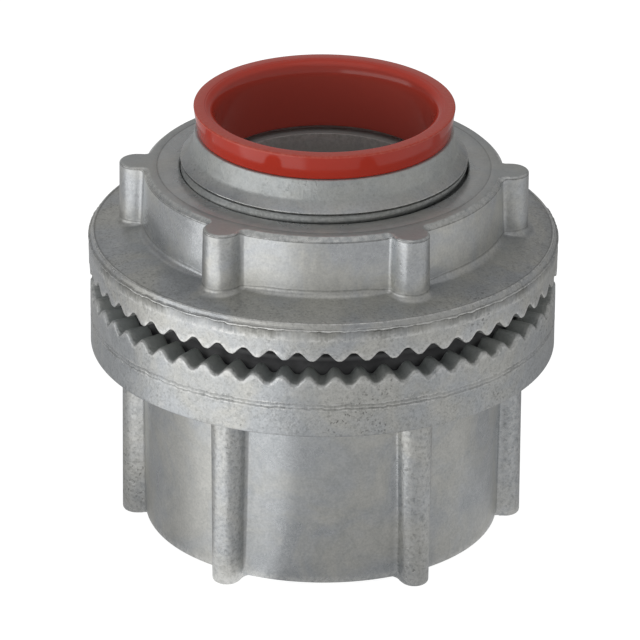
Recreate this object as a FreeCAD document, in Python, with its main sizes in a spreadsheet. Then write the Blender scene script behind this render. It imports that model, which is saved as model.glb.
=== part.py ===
import FreeCAD, Part
import math
import os
import Sketcher

# Conduit hub: a die-cast socket for threaded conduit with a toothed flange and a threaded nipple,
# a toothed locking nut on the nipple, a rubber sealing ring and a plastic throat insulator.
# The origin is on the axis at the level of the ribs' feet, +Z runs up through the nipple.
# All lengths are in millimetres and all angles in degrees.

doc = FreeCAD.newDocument("conduit_hub")

SIZES = [
    ("foot_height", 0.5, "how far the ribs' feet stand below the socket's mouth"),
    ("conduit_bore_radius", 16.7, "wall of the conduit thread, at its roots"),
    ("conduit_bore_depth", 20.5, "from the mouth to the stop that the conduit meets"),
    ("conduit_mouth_bevel", 0.9, "lead-in at the mouth of the conduit thread"),
    ("socket_mouth_wall", 3.9, "wall of the conduit socket at its mouth"),
    ("socket_root_wall", 4.25, "wall of the socket where it meets the flange"),
    ("socket_length", 21.7, "from the mouth to the underside of the flange"),
    ("socket_edge_round", 0.4, "rounding of the socket's mouth edge"),

    ("nipple_radius", 16.6, "outside of the nipple, over its thread"),
    ("nipple_thread_length", 15.6, "from the tooth crests to the start of the lead-in"),
    ("nipple_lead_height", 1.0, "height of the thread's lead-in bevel"),
    ("nipple_lead_depth", 1.3, "how far the lead-in bevel runs in from the thread"),
    ("nipple_collar_height", 2.45, "plain collar from the lead-in to the end of the nipple"),
    ("nipple_collar_draft", 0.35, "how much the collar narrows to its end"),
    ("nipple_collar_round", 0.8, "fillet between the collar and the lead-in"),
    ("nipple_end_wall", 1.25, "wall of the nipple round the insulator, at its end"),

    ("land_width", 2.4, "land between the nipple and the seal's groove"),
    ("seal_land_drop", 1.5, "how far that land lies below the tooth crests"),
    ("seal_groove_depth", 3.5, "from the tooth crests to the floor of the seal's groove"),
    ("seal_cord_radius", 2.0, "section of the rubber ring"),
    ("seal_seat_flat", 0.15, "how far the ring is pressed flat on the groove's floor"),
    ("seal_clearance", 0.3, "from the rubber ring to the groove's inner wall"),
    ("seal_outer_clearance", 0.6, "from the rubber ring to the inner ends of the teeth"),

    ("tooth_count", 54, "teeth on each of the two facing rings"),
    ("tooth_height", 1.0, "from the valleys to the crests"),
    ("tooth_band", 3.1, "radial length of the teeth"),
    ("tooth_tip_width", 0.75, "flat on each crest, at the rim"),
    ("tooth_root_width", 0.7, "flat in each valley, at the rim"),

    ("body_flange_thickness", 7.5, "from the underside to the crests of the teeth"),
    ("body_flange_draft", 0.15, "how much the body's flange narrows to its underside"),
    ("body_parting_height", 3.5, "from the flange's underside to the mould parting"),
    ("flange_edge_round", 0.45, "rounding of the body flange's lower edge"),
    ("flange_root_round", 1.0, "fillet between the socket and the flange"),

    ("rib_count", 6, "gripping ribs on each casting"),
    ("body_rib_height", 2.7, "how far the body's ribs stand out from the socket's mouth"),
    ("body_rib_root_width", 4.2, "width of a body rib at the flange"),
    ("body_rib_mouth_width", 3.3, "width of a body rib at the socket's mouth"),
    ("body_rib_foot_round", 0.6, "rounding of the ribs' feet"),
    ("body_rib_bite", 0.3, "how far the ribs' roots lie inside the socket's wall"),

    ("thread_clearance", 0.06, "radial running clearance of the nut on the nipple"),
    ("nut_gap", 2.0, "from the body's tooth crests to the nut's, as it is screwed on"),
    ("nut_turn", 357.5, "how far round the nut stands on its thread"),
    ("nut_height", 12.45, "from the tooth tips to the top of the hub"),
    ("nut_hub_wall", 4.09, "wall of the nut's hub at its top"),
    ("nut_hub_draft", 0.35, "how much the hub widens to the flange"),
    ("nut_hub_edge_bevel", 0.5, "bevel of the hub's top edge"),
    ("nut_root_round", 0.9, "fillet between the hub and the flange"),
    ("nut_bore_bevel", 0.45, "lead-in of the nut's thread, top and bottom"),
    ("nut_flange_margin", 0.25, "how far the nut's flange stands out past the body's"),
    ("nut_tip_draft", 0.1, "how much the nut's flange narrows to the tips of its teeth"),
    ("nut_rim_bevel", 0.35, "how much the nut's flange narrows to its upper edge"),
    ("nut_parting_height", 4.1, "from the nut's tooth tips to the mould parting"),
    ("nut_rim_height", 4.45, "from the tooth tips to the flange's upper edge"),
    ("nut_flange_rise", 0.95, "how much the flange's top climbs from the edge to the hub"),
    ("nut_recess_depth", 1.5, "from the tooth tips up to the face inside the teeth"),
    ("nut_rib_height", 2.55, "how far the nut's ribs stand out from the hub's foot"),
    ("nut_rib_top_width", 4.2, "width of a nut rib at the top of the hub"),
    ("nut_rib_root_width", 4.7, "width of a nut rib at the flange"),

    ("insulator_rim_overhang", 0.15, "how far the insulator's rim stands out past the nipple"),
    ("insulator_rim_taper", 0.45, "how much the rim narrows down to the nipple"),
    ("insulator_rim_height", 3.0, "height of the rim above the nipple"),
    ("insulator_lip_round", 1.2, "rounding of the bore's upper edge"),
    ("insulator_sleeve_wall", 1.1, "wall of the sleeve inside the nipple"),
    ("insulator_sleeve_length", 5.05, "how far the sleeve reaches into the nipple"),
    ("insulator_clearance", 0.05, "radial clearance of the sleeve in the nipple"),
    ("insulator_end_gap", 0.3, "from the sleeve's end to the shoulder under it"),

    ("throat_step", 0.55, "how far the metal throat stands in from the insulator's bore"),
    ("throat_entry_bevel", 1.2, "easing of the throat at the conduit stop"),
    ("throat_edge_width", 0.5, "easing of the throat under the insulator, across"),
    ("throat_edge_height", 0.8, "easing of the throat under the insulator, along the axis"),
]

sheet = doc.addObject("Spreadsheet::Sheet", "Sizes")
for row, (alias, value, meaning) in enumerate(SIZES, start=1):
    sheet.set(f"A{row}", str(value))
    sheet.setAlias(f"A{row}", alias)
    sheet.set(f"B{row}", meaning)
doc.recompute()

# Heights above the ribs' feet, as formulas of the sizes above.
MOUTH = "Sizes.foot_height"
STOP = f"({MOUTH} + Sizes.conduit_bore_depth)"
FLANGE_FOOT = f"({MOUTH} + Sizes.socket_length)"
CREST = f"({FLANGE_FOOT} + Sizes.body_flange_thickness)"
GROOVE_FLOOR = f"({CREST} - Sizes.seal_groove_depth)"
LAND = f"({CREST} - Sizes.seal_land_drop)"
THREAD_TOP = f"({CREST} + Sizes.nipple_thread_length)"
COLLAR_FOOT = f"({THREAD_TOP} + Sizes.nipple_lead_height)"
NIPPLE_TOP = f"({COLLAR_FOOT} + Sizes.nipple_collar_height)"
SHOULDER = f"({NIPPLE_TOP} - Sizes.insulator_sleeve_length - Sizes.insulator_end_gap)"

# Radii, each worked out from the piece or the wall that it fits.
SOCKET_MOUTH_RADIUS = "(Sizes.conduit_bore_radius + Sizes.socket_mouth_wall)"
SOCKET_ROOT_RADIUS = "(Sizes.conduit_bore_radius + Sizes.socket_root_wall)"
BODY_RIB_RADIUS = f"({SOCKET_MOUTH_RADIUS} + Sizes.body_rib_height)"
COLLAR_RADIUS = "(Sizes.nipple_radius - Sizes.nipple_lead_depth)"
COLLAR_TIP_RADIUS = f"({COLLAR_RADIUS} - Sizes.nipple_collar_draft)"
SEAT_RADIUS = f"({COLLAR_TIP_RADIUS} - Sizes.nipple_end_wall)"
SLEEVE_RADIUS = f"({SEAT_RADIUS} - Sizes.insulator_clearance)"
INSULATOR_BORE = f"({SLEEVE_RADIUS} - Sizes.insulator_sleeve_wall)"
RIM_RADIUS = f"({COLLAR_TIP_RADIUS} + Sizes.insulator_rim_overhang)"
THROAT_RADIUS = f"({INSULATOR_BORE} - Sizes.throat_step)"
LAND_RADIUS = "(Sizes.nipple_radius + Sizes.land_width)"
SEAL_RADIUS = f"({LAND_RADIUS} + Sizes.seal_clearance + Sizes.seal_cord_radius)"
TOOTH_INNER_RADIUS = f"({SEAL_RADIUS} + Sizes.seal_cord_radius + Sizes.seal_outer_clearance)"
FLANGE_RADIUS = f"({TOOTH_INNER_RADIUS} + Sizes.tooth_band)"
NUT_BORE = "(Sizes.nipple_radius + Sizes.thread_clearance)"
NUT_HUB_RADIUS = f"({NUT_BORE} + Sizes.nut_hub_wall)"
NUT_HUB_ROOT_RADIUS = f"({NUT_HUB_RADIUS} + Sizes.nut_hub_draft)"
NUT_RIB_RADIUS = f"({NUT_HUB_ROOT_RADIUS} + Sizes.nut_rib_height)"
NUT_FLANGE_RADIUS = f"({FLANGE_RADIUS} + Sizes.nut_flange_margin)"
NUT_TIP_RADIUS = f"({NUT_FLANGE_RADIUS} - Sizes.nut_tip_draft)"
TOOTH_PITCH_ANGLE = "(2 * pi / Sizes.tooth_count)"
HALF_PITCH_TURN = "(180 / Sizes.tooth_count)"

# How far a cutting or added shape runs past the faces that it has to pass.
OVERRUN = 0.5


def new_body(label):
    """Start a sub-part whose label is also its file's name."""
    body = doc.addObject("PartDesign::Body", label)
    body.Label = label
    return body


def origin_feature(body, role):
    """Find one of a body's own origin planes or axes by its role."""
    return next(item for item in body.Origin.OriginFeatures if item.Role == role)


def new_sketch(body, name, plane, offset=None):
    """Attach a sketch to an origin plane, moved along the plane's normal by a formula."""
    sketch = body.newObject("Sketcher::SketchObject", name)
    sketch.AttachmentSupport = (origin_feature(body, plane), [""])
    sketch.MapMode = "FlatFace"
    if offset is not None:
        sketch.setExpression("AttachmentOffset.Base.z", offset)
    return sketch


def pin_point(sketch, line, end, across, up):
    """Fix one end of a line at a place given by two formulas."""
    for direction, formula in (("DistanceX", across), ("DistanceY", up)):
        if formula == "0":
            axis = -2 if direction == "DistanceX" else -1
            sketch.addConstraint(Sketcher.Constraint("PointOnObject", line, end, axis))
            continue
        index = sketch.addConstraint(Sketcher.Constraint(direction, -1, 1, line, end, 1.0))
        sketch.setExpression(f"Constraints[{index}]", formula)


def outline(sketch, corners):
    """Draw a closed outline of straight sides through corners given as formulas."""
    count = len(corners)
    middle, reach = FreeCAD.Vector(30, 30, 0), FreeCAD.Vector(10, 0, 0)
    up_axis = FreeCAD.Vector(0, 0, 1)
    start_ring = [middle + FreeCAD.Rotation(up_axis, 360 * i / count) * reach for i in range(count)]
    for i in range(count):
        sketch.addGeometry(Part.LineSegment(start_ring[i], start_ring[(i + 1) % count]), False)
    for i in range(count):
        sketch.addConstraint(Sketcher.Constraint("Coincident", i, 2, (i + 1) % count, 1))
    for i, (across, up) in enumerate(corners):
        pin_point(sketch, i, 1, across, up)


def revolve(body, name, corners):
    """Turn an outline of radius and height once round the body's axis."""
    sketch = new_sketch(body, name + "_outline", "XZ_Plane")
    outline(sketch, corners)
    solid = body.newObject("PartDesign::Revolution", name)
    solid.Profile = (sketch, [""])
    solid.ReferenceAxis = (sketch, ["V_Axis"])
    solid.Angle = 360
    doc.recompute()
    return solid


def repeat_round(body, name, feature, count):
    """Repeat a feature evenly round the body's axis."""
    pattern = body.newObject("PartDesign::PolarPattern", name)
    pattern.Originals = [feature]
    pattern.Axis = (origin_feature(body, "Z_Axis"), [""])
    pattern.Angle = 360
    pattern.setExpression("Occurrences", count)
    body.Tip = pattern
    doc.recompute()
    return pattern


def loft(body, kind, name, lower, upper):
    """Join two sketched sections with straight flanks."""
    feature = body.newObject(kind, name)
    feature.Profile = (lower, [""])
    feature.Sections = [(upper, [""])]
    feature.Ruled = True
    body.Tip = feature
    doc.recompute()
    return feature


def round_edges(body, name, base, edges, size):
    """Round the named edges of a feature."""
    fillet = body.newObject("PartDesign::Fillet", name)
    fillet.Base = (base, edges)
    fillet.setExpression("Radius", size)
    body.Tip = fillet
    doc.recompute()
    return fillet


def bevel_edges(body, name, base, edges, size):
    """Bevel the named edges of a feature."""
    bevel = body.newObject("PartDesign::Chamfer", name)
    bevel.Base = (base, edges)
    bevel.setExpression("Size", size)
    body.Tip = bevel
    doc.recompute()
    return bevel


def size_of(formula):
    """Work out a formula of the sizes, in millimetres."""
    value = sheet.evalExpression(formula)
    return getattr(value, "Value", value)


def ring_edges(feature, radius, height, reach=0.01):
    """Name the edges on a circle round the axis, its radius and height given as formulas."""
    radius, height = size_of(radius), size_of(height)
    names = []
    for number, edge in enumerate(feature.Shape.Edges, start=1):
        points = edge.discretize(5)
        on_ring = all(
            abs(math.hypot(p.x, p.y) - radius) < reach and abs(p.z - height) < reach for p in points
        )
        if on_ring:
            names.append(f"Edge{number}")
    return names


def rib_section(body, name, height, inner, outer, width):
    """Draw the plan of a rib: parallel flanks from inside the wall and a half-round nose."""
    sketch = new_sketch(body, name, "XY_Plane", height)
    tip, nose, root = 30.0, 28.0, 20.0
    corners = [
        FreeCAD.Vector(root, -2, 0), FreeCAD.Vector(nose, -2, 0),
        FreeCAD.Vector(nose, 2, 0), FreeCAD.Vector(root, 2, 0),
    ]
    sketch.addGeometry(Part.LineSegment(corners[0], corners[1]), False)
    sketch.addGeometry(Part.Arc(corners[1], FreeCAD.Vector(tip, 0, 0), corners[2]), False)
    sketch.addGeometry(Part.LineSegment(corners[2], corners[3]), False)
    sketch.addGeometry(Part.LineSegment(corners[3], corners[0]), False)
    sketch.addConstraint(Sketcher.Constraint("Tangent", 0, 2, 1, 1))
    sketch.addConstraint(Sketcher.Constraint("Tangent", 1, 2, 2, 1))
    sketch.addConstraint(Sketcher.Constraint("Coincident", 2, 2, 3, 1))
    sketch.addConstraint(Sketcher.Constraint("Coincident", 3, 2, 0, 1))
    sketch.addConstraint(Sketcher.Constraint("Horizontal", 0))
    sketch.addConstraint(Sketcher.Constraint("Horizontal", 2))
    sketch.addConstraint(Sketcher.Constraint("Vertical", 3))
    sketch.addConstraint(Sketcher.Constraint("PointOnObject", 1, 3, -1))
    half_width = sketch.addConstraint(Sketcher.Constraint("Radius", 1, 2.0))
    sketch.setExpression(f"Constraints[{half_width}]", f"{width} / 2")
    nose_centre = sketch.addConstraint(Sketcher.Constraint("DistanceX", -1, 1, 1, 3, nose))
    sketch.setExpression(f"Constraints[{nose_centre}]", f"{outer} - {width} / 2")
    wall = sketch.addConstraint(Sketcher.Constraint("DistanceX", -1, 1, 0, 1, root))
    sketch.setExpression(f"Constraints[{wall}]", inner)
    return sketch


def ribs(body, name, inner, outer, low, high):
    """Cast tapering ribs round a wall; low and high are each a height and a width."""
    lower = rib_section(body, name + "_low", low[0], inner, outer, low[1])
    upper = rib_section(body, name + "_high", high[0], inner, outer, high[1])
    rib = loft(body, "PartDesign::AdditiveLoft", name, lower, upper)
    return repeat_round(body, name + "_round", rib, "Sizes.rib_count")


def tooth_valley(body, name, reach, rim, crest, valley, clear, turn):
    """Draw the cross-section of the gap between two teeth at a distance from the axis."""
    crest_half = f"{reach} * ({TOOTH_PITCH_ANGLE} - Sizes.tooth_tip_width / {rim}) / 2"
    valley_half = f"{reach} * Sizes.tooth_root_width / {rim} / 2"
    sketch = new_sketch(body, name, "YZ_Plane")
    upright = FreeCAD.Vector(0, 1, 0)
    sketch.AttachmentOffset = FreeCAD.Placement(FreeCAD.Vector(), FreeCAD.Rotation(upright, 1))
    sketch.setExpression("AttachmentOffset.Base.x", f"{reach} * sin({turn})")
    sketch.setExpression("AttachmentOffset.Base.z", f"{reach} * cos({turn})")
    sketch.setExpression("AttachmentOffset.Rotation.Angle", turn)
    outline(sketch, [
        (f"-({valley_half})", valley),
        (valley_half, valley),
        (crest_half, crest),
        (crest_half, clear),
        (f"-({crest_half})", clear),
        (f"-({crest_half})", crest),
    ])
    return sketch


def teeth(body, name, rim, crest, valley, clear, turn):
    """Cut a ring of radial teeth into a flange, each valley narrowing towards the axis.

    The turn is the angle from a rib's centre line to the first valley.
    """
    outside = f"({rim} + {OVERRUN})"
    inside = f"({rim} - Sizes.tooth_band - {OVERRUN})"
    outer = tooth_valley(body, name + "_rim", outside, rim, crest, valley, clear, turn)
    inner = tooth_valley(body, name + "_inside", inside, rim, crest, valley, clear, turn)
    cut = loft(body, "PartDesign::SubtractiveLoft", name, outer, inner)
    return repeat_round(body, name + "_round", cut, "Sizes.tooth_count")


def round_rib_feet(body):
    """Take the outer corner off the ribs' feet with a turned quarter-round."""
    sketch = new_sketch(body, "rib_foot_outline", "XZ_Plane")
    outer = size_of(BODY_RIB_RADIUS)
    size = size_of("Sizes.body_rib_foot_round")
    low, start = -OVERRUN, outer - size
    corners = [
        FreeCAD.Vector(start, 0, 0), FreeCAD.Vector(start, low, 0),
        FreeCAD.Vector(outer + OVERRUN, low, 0), FreeCAD.Vector(outer + OVERRUN, size, 0),
        FreeCAD.Vector(outer, size, 0),
    ]
    for i in range(4):
        sketch.addGeometry(Part.LineSegment(corners[i], corners[i + 1]), False)
    bow = size * (1 - math.sqrt(0.5))
    sketch.addGeometry(Part.Arc(corners[4], FreeCAD.Vector(outer - bow, bow, 0), corners[0]), False)
    for i in range(5):
        sketch.addConstraint(Sketcher.Constraint("Coincident", i, 2, (i + 1) % 5, 1))
    inside = f"{BODY_RIB_RADIUS} - Sizes.body_rib_foot_round"
    outside = f"{BODY_RIB_RADIUS} + {OVERRUN}"
    pin_point(sketch, 0, 1, inside, "0")
    pin_point(sketch, 1, 1, inside, f"-{OVERRUN}")
    pin_point(sketch, 2, 1, outside, f"-{OVERRUN}")
    pin_point(sketch, 3, 1, outside, "Sizes.body_rib_foot_round")
    pin_point(sketch, 4, 1, BODY_RIB_RADIUS, "Sizes.body_rib_foot_round")
    bend = sketch.addConstraint(Sketcher.Constraint("Radius", 4, size))
    sketch.setExpression(f"Constraints[{bend}]", "Sizes.body_rib_foot_round")
    groove = body.newObject("PartDesign::Groove", "rib_foot")
    groove.Profile = (sketch, [""])
    groove.ReferenceAxis = (sketch, ["V_Axis"])
    groove.Angle = 360
    body.Tip = groove
    doc.recompute()


def make_hub_body():
    """One casting: conduit socket with ribs, toothed flange with a seal groove, threaded nipple."""
    body = new_body("hub_body")
    solid = revolve(body, "casting", [
        ("Sizes.conduit_bore_radius + Sizes.conduit_mouth_bevel", MOUTH),
        (SOCKET_MOUTH_RADIUS, MOUTH),
        (SOCKET_ROOT_RADIUS, FLANGE_FOOT),
        (f"{FLANGE_RADIUS} - Sizes.body_flange_draft", FLANGE_FOOT),
        (FLANGE_RADIUS, f"{FLANGE_FOOT} + Sizes.body_parting_height"),
        (FLANGE_RADIUS, CREST),
        (TOOTH_INNER_RADIUS, CREST),
        (TOOTH_INNER_RADIUS, GROOVE_FLOOR),
        (LAND_RADIUS, GROOVE_FLOOR),
        (LAND_RADIUS, LAND),
        ("Sizes.nipple_radius", LAND),
        ("Sizes.nipple_radius", THREAD_TOP),
        (COLLAR_RADIUS, COLLAR_FOOT),
        (COLLAR_TIP_RADIUS, NIPPLE_TOP),
        (SEAT_RADIUS, NIPPLE_TOP),
        (SEAT_RADIUS, SHOULDER),
        (f"{THROAT_RADIUS} + Sizes.throat_edge_width", SHOULDER),
        (THROAT_RADIUS, f"{SHOULDER} - Sizes.throat_edge_height"),
        (THROAT_RADIUS, f"{STOP} + Sizes.throat_entry_bevel"),
        (f"{THROAT_RADIUS} + Sizes.throat_entry_bevel", STOP),
        ("Sizes.conduit_bore_radius", STOP),
        ("Sizes.conduit_bore_radius", f"{MOUTH} + Sizes.conduit_mouth_bevel"),
    ])
    for name, radius, height, rounding in (
        ("flange_edge", f"{FLANGE_RADIUS} - Sizes.body_flange_draft", FLANGE_FOOT, "flange_edge_round"),
        ("flange_root", SOCKET_ROOT_RADIUS, FLANGE_FOOT, "flange_root_round"),
        ("socket_edge", SOCKET_MOUTH_RADIUS, MOUTH, "socket_edge_round"),
        ("collar_root", COLLAR_RADIUS, COLLAR_FOOT, "nipple_collar_round"),
    ):
        edge = ring_edges(solid, radius, height)
        solid = round_edges(body, name, solid, edge, f"Sizes.{rounding}")
    ribs(body, "body_rib",
         f"{SOCKET_MOUTH_RADIUS} - Sizes.body_rib_bite",
         BODY_RIB_RADIUS,
         ("0", "Sizes.body_rib_mouth_width"),
         (f"{FLANGE_FOOT} + {OVERRUN}", "Sizes.body_rib_root_width"))
    round_rib_feet(body)
    teeth(body, "body_tooth", FLANGE_RADIUS, CREST,
          f"{CREST} - Sizes.tooth_height", f"{CREST} + {OVERRUN}", HALF_PITCH_TURN)
    return body


def make_locking_nut():
    """One casting: internally threaded hub with ribs and a toothed flange, teeth down."""
    body = new_body("locking_nut")
    flange_top = "(Sizes.nut_rim_height + Sizes.nut_flange_rise)"
    solid = revolve(body, "casting", [
        (NUT_BORE, "Sizes.nut_recess_depth + Sizes.nut_bore_bevel"),
        (f"{NUT_BORE} + Sizes.nut_bore_bevel", "Sizes.nut_recess_depth"),
        (f"{NUT_TIP_RADIUS} - Sizes.tooth_band", "Sizes.nut_recess_depth"),
        (f"{NUT_TIP_RADIUS} - Sizes.tooth_band", "0"),
        (NUT_TIP_RADIUS, "0"),
        (NUT_FLANGE_RADIUS, "Sizes.nut_parting_height"),
        (f"{NUT_FLANGE_RADIUS} - Sizes.nut_rim_bevel", "Sizes.nut_rim_height"),
        (NUT_HUB_ROOT_RADIUS, flange_top),
        (NUT_HUB_RADIUS, "Sizes.nut_height"),
        (f"{NUT_BORE} + Sizes.nut_bore_bevel", "Sizes.nut_height"),
        (NUT_BORE, "Sizes.nut_height - Sizes.nut_bore_bevel"),
    ])
    edge = ring_edges(solid, NUT_HUB_RADIUS, "Sizes.nut_height")
    solid = bevel_edges(body, "hub_edge", solid, edge, "Sizes.nut_hub_edge_bevel")
    edge = ring_edges(solid, NUT_HUB_ROOT_RADIUS, flange_top)
    round_edges(body, "hub_root", solid, edge, "Sizes.nut_root_round")
    ribs(body, "nut_rib",
         f"{NUT_BORE} + Sizes.nut_hub_wall / 2",
         NUT_RIB_RADIUS,
         ("Sizes.nut_rim_height", "Sizes.nut_rib_root_width"),
         ("Sizes.nut_height", "Sizes.nut_rib_top_width"))
    teeth(body, "nut_tooth", NUT_TIP_RADIUS, "0", "Sizes.tooth_height", f"-{OVERRUN}", "0")
    body.setExpression("Placement.Base.z", f"{CREST} + Sizes.nut_gap")
    body.setExpression("Placement.Rotation.Angle", "Sizes.nut_turn")
    return body


def make_throat_insulator():
    """Moulded plastic bush: a rim that sits on the nipple's end and a sleeve inside it."""
    body = new_body("throat_insulator")
    solid = revolve(body, "moulding", [
        (INSULATOR_BORE, "-Sizes.insulator_sleeve_length"),
        (SLEEVE_RADIUS, "-Sizes.insulator_sleeve_length"),
        (SLEEVE_RADIUS, "0"),
        (f"{RIM_RADIUS} - Sizes.insulator_rim_taper", "0"),
        (RIM_RADIUS, "Sizes.insulator_rim_height"),
        (INSULATOR_BORE, "Sizes.insulator_rim_height"),
    ])
    edge = ring_edges(solid, INSULATOR_BORE, "Sizes.insulator_rim_height")
    round_edges(body, "lip", solid, edge, "Sizes.insulator_lip_round")
    body.setExpression("Placement.Base.z", NIPPLE_TOP)
    return body


def make_sealing_ring():
    """Rubber ring in the flange's groove: round in section, a little flat where it sits."""
    body = new_body("sealing_ring")
    sketch = new_sketch(body, "section", "XZ_Plane")
    radius = size_of("Sizes.seal_cord_radius")
    lift = radius - size_of("Sizes.seal_seat_flat")
    chord = math.sqrt(radius ** 2 - lift ** 2)
    middle = size_of(SEAL_RADIUS)
    left = FreeCAD.Vector(middle - chord, 0, 0)
    right = FreeCAD.Vector(middle + chord, 0, 0)
    sketch.addGeometry(Part.Arc(right, FreeCAD.Vector(middle, lift + radius, 0), left), False)
    sketch.addGeometry(Part.LineSegment(left, right), False)
    sketch.addConstraint(Sketcher.Constraint("Coincident", 0, 2, 1, 1))
    sketch.addConstraint(Sketcher.Constraint("Coincident", 0, 1, 1, 2))
    sketch.addConstraint(Sketcher.Constraint("PointOnObject", 1, 1, -1))
    sketch.addConstraint(Sketcher.Constraint("PointOnObject", 1, 2, -1))
    section = sketch.addConstraint(Sketcher.Constraint("Radius", 0, radius))
    sketch.setExpression(f"Constraints[{section}]", "Sizes.seal_cord_radius")
    across = sketch.addConstraint(Sketcher.Constraint("DistanceX", -1, 1, 0, 3, middle))
    sketch.setExpression(f"Constraints[{across}]", SEAL_RADIUS)
    up = sketch.addConstraint(Sketcher.Constraint("DistanceY", -1, 1, 0, 3, lift))
    sketch.setExpression(f"Constraints[{up}]", "Sizes.seal_cord_radius - Sizes.seal_seat_flat")
    ring = body.newObject("PartDesign::Revolution", "cord")
    ring.Profile = (sketch, [""])
    ring.ReferenceAxis = (sketch, ["V_Axis"])
    ring.Angle = 360
    doc.recompute()
    body.setExpression("Placement.Base.z", GROOVE_FLOOR)
    return body


def check(bodies):
    """Stop if an object failed or a sub-part's shape isn't a sound solid."""
    for item in doc.Objects:
        if "Invalid" in item.State or "Error" in item.State:
            raise RuntimeError(f"{item.Name} failed: {item.State}")
    for body in bodies:
        if body.Shape.isNull() or not body.Shape.isValid() or len(body.Shape.Solids) != 1:
            raise RuntimeError(f"{body.Label} is not one sound solid")


bodies = [make_hub_body(), make_locking_nut(), make_throat_insulator(), make_sealing_ring()]
doc.recompute()
check(bodies)
os.makedirs("parts", exist_ok=True)
for body in bodies:
    body.Shape.exportStep(f"parts/{body.Label}.step")
    print(body.Label, round(body.Shape.Volume, 1), body.Shape.BoundBox)
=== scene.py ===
import math

import bmesh
import bpy
from mathutils import Euler, Matrix, Vector, noise


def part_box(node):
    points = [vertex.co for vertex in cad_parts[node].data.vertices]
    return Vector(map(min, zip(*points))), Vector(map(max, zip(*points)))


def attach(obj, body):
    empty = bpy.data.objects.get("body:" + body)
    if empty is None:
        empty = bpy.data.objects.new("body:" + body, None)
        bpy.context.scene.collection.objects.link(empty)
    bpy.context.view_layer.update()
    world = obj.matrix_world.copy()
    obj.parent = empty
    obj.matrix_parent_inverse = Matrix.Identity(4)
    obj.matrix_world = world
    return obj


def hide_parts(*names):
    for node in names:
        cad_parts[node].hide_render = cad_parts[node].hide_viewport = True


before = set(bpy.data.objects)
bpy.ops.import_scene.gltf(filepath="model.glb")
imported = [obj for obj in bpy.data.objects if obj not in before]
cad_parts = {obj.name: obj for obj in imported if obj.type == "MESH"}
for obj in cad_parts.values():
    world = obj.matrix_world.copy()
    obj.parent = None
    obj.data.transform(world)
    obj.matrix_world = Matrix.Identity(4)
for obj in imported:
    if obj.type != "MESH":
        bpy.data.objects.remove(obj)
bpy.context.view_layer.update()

# A die-cast conduit hub with a toothed lock nut, a red throat insulator and a black sealing ring.
# Meshes are shaped in millimetres and scaled to metres once, when their object is made.
MM = 0.001


def corners_mm(node):
    """The lowest and highest corner of a node, in millimetres."""
    low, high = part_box(node)
    return low / MM, high / MM


HUB_HIGH = corners_mm("hub_body")[1]
NUT_LOW, NUT_HIGH = corners_mm("locking_nut")
INSULATOR_LOW, INSULATOR_HIGH = corners_mm("throat_insulator")
RING_LOW, RING_HIGH = corners_mm("sealing_ring")

# The side the camera looks from.
FRONT = math.radians(-90)

# Teeth: both rings have the same pitch, and twelve columns of vertices to each tooth.
TEETH = 54
PITCH = math.tau / TEETH
TOOTH_STEPS = (0.0, 0.08, 0.15, 0.25, 0.35, 0.43, 0.5, 0.57, 0.65, 0.75, 0.85, 0.92)
VALLEY_HALF = 0.06
CREST_HALF = 0.07
BODY_TOOTH_EDGE = 0.45
NUT_TOOTH_EDGE = 0.18
TOOTH_HEIGHT = 1.0
TOOTH_BAND = 3.1
COLUMNS = TEETH * len(TOOTH_STEPS)

# Ribs: six on each casting, on the same columns as the teeth.
RIBS = 6
HALF_SECTOR = COLUMNS // RIBS // 2
NOSE_COLUMNS = 16
FILLET_COLUMNS = 4

# Body casting. The socket's radii and rib widths are those at its mouth and at the flange.
CREST = NUT_LOW.z - 2.0
MOUTH = 0.5
FLANGE_FOOT = CREST - 7.5
FLANGE_RADIUS = HUB_HIGH.x
BODY_PARTING = FLANGE_FOOT + 3.7
SOCKET_RADII = (20.6, 20.95)
BODY_RIB_RADIUS = 23.3
BODY_RIB_WIDTHS = (3.3, 4.2)
BODY_RIB_FILLET = 0.5
BODY_WALL_HEIGHTS = (1.6, 3.0, 6.5, 10.0, 13.5, 17.0, 20.0, FLANGE_FOOT - 0.6)
# How strongly the rib noses are painted with a highlight, over their wear.
BODY_RIB_WEAR_HIGHLIGHT = 0.3
SOCKET_EDGE_ROUND = 0.38
FOOT_EDGE_ROUND = 0.48
FLANGE_ROOT_ROUND = 0.42
FLANGE_EDGE_ROUND = 0.2
GROOVE_FLOOR = CREST - 3.5
LAND = CREST - 1.5
LAND_RADIUS = 19.0
GROOVE_ROUND = 0.3
TOOTH_END_ROUND = 0.3
BODY_FIRST_VALLEY = FRONT
BODY_RIB_COLUMN = HALF_SECTOR

# Where each casting's outer and inner shells meet, on the land, the recess and the nut's top.
SHELL_SEAM_RADIUS = 18.2
NIPPLE_SEAM_RADIUS = 17.2
SOCKET_SEAM_RADIUS = 18.0

# Nipple, throat and conduit thread.
THREAD_PITCH = 2.209
THREAD_DEPTH = 1.2
THREAD_CREST_BELOW_LEAD = 0.85
NIPPLE_COLUMNS = COLUMNS // 3
NIPPLE_RADIUS = 16.6
LEAD_FOOT = CREST + 15.6
COLLAR_FOOT = LEAD_FOOT + 1.0
COLLAR_RADIUS = 15.3
COLLAR_TIP_RADIUS = 14.95
NIPPLE_TOP = HUB_HIGH.z
SEAT_RADIUS = 13.7
SHOULDER = INSULATOR_LOW.z - 0.7
THROAT_RADIUS = 12.0
CONDUIT_STOP = MOUTH + 20.5
CONDUIT_RADIUS = 16.7
CONDUIT_LEAD_IN = 0.9
THROAT_ENTRY_BEVEL = 1.2
THROAT_HEIGHTS = (40.0, 34.0, 28.0)
COLLAR_ROUND = 0.8
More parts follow.
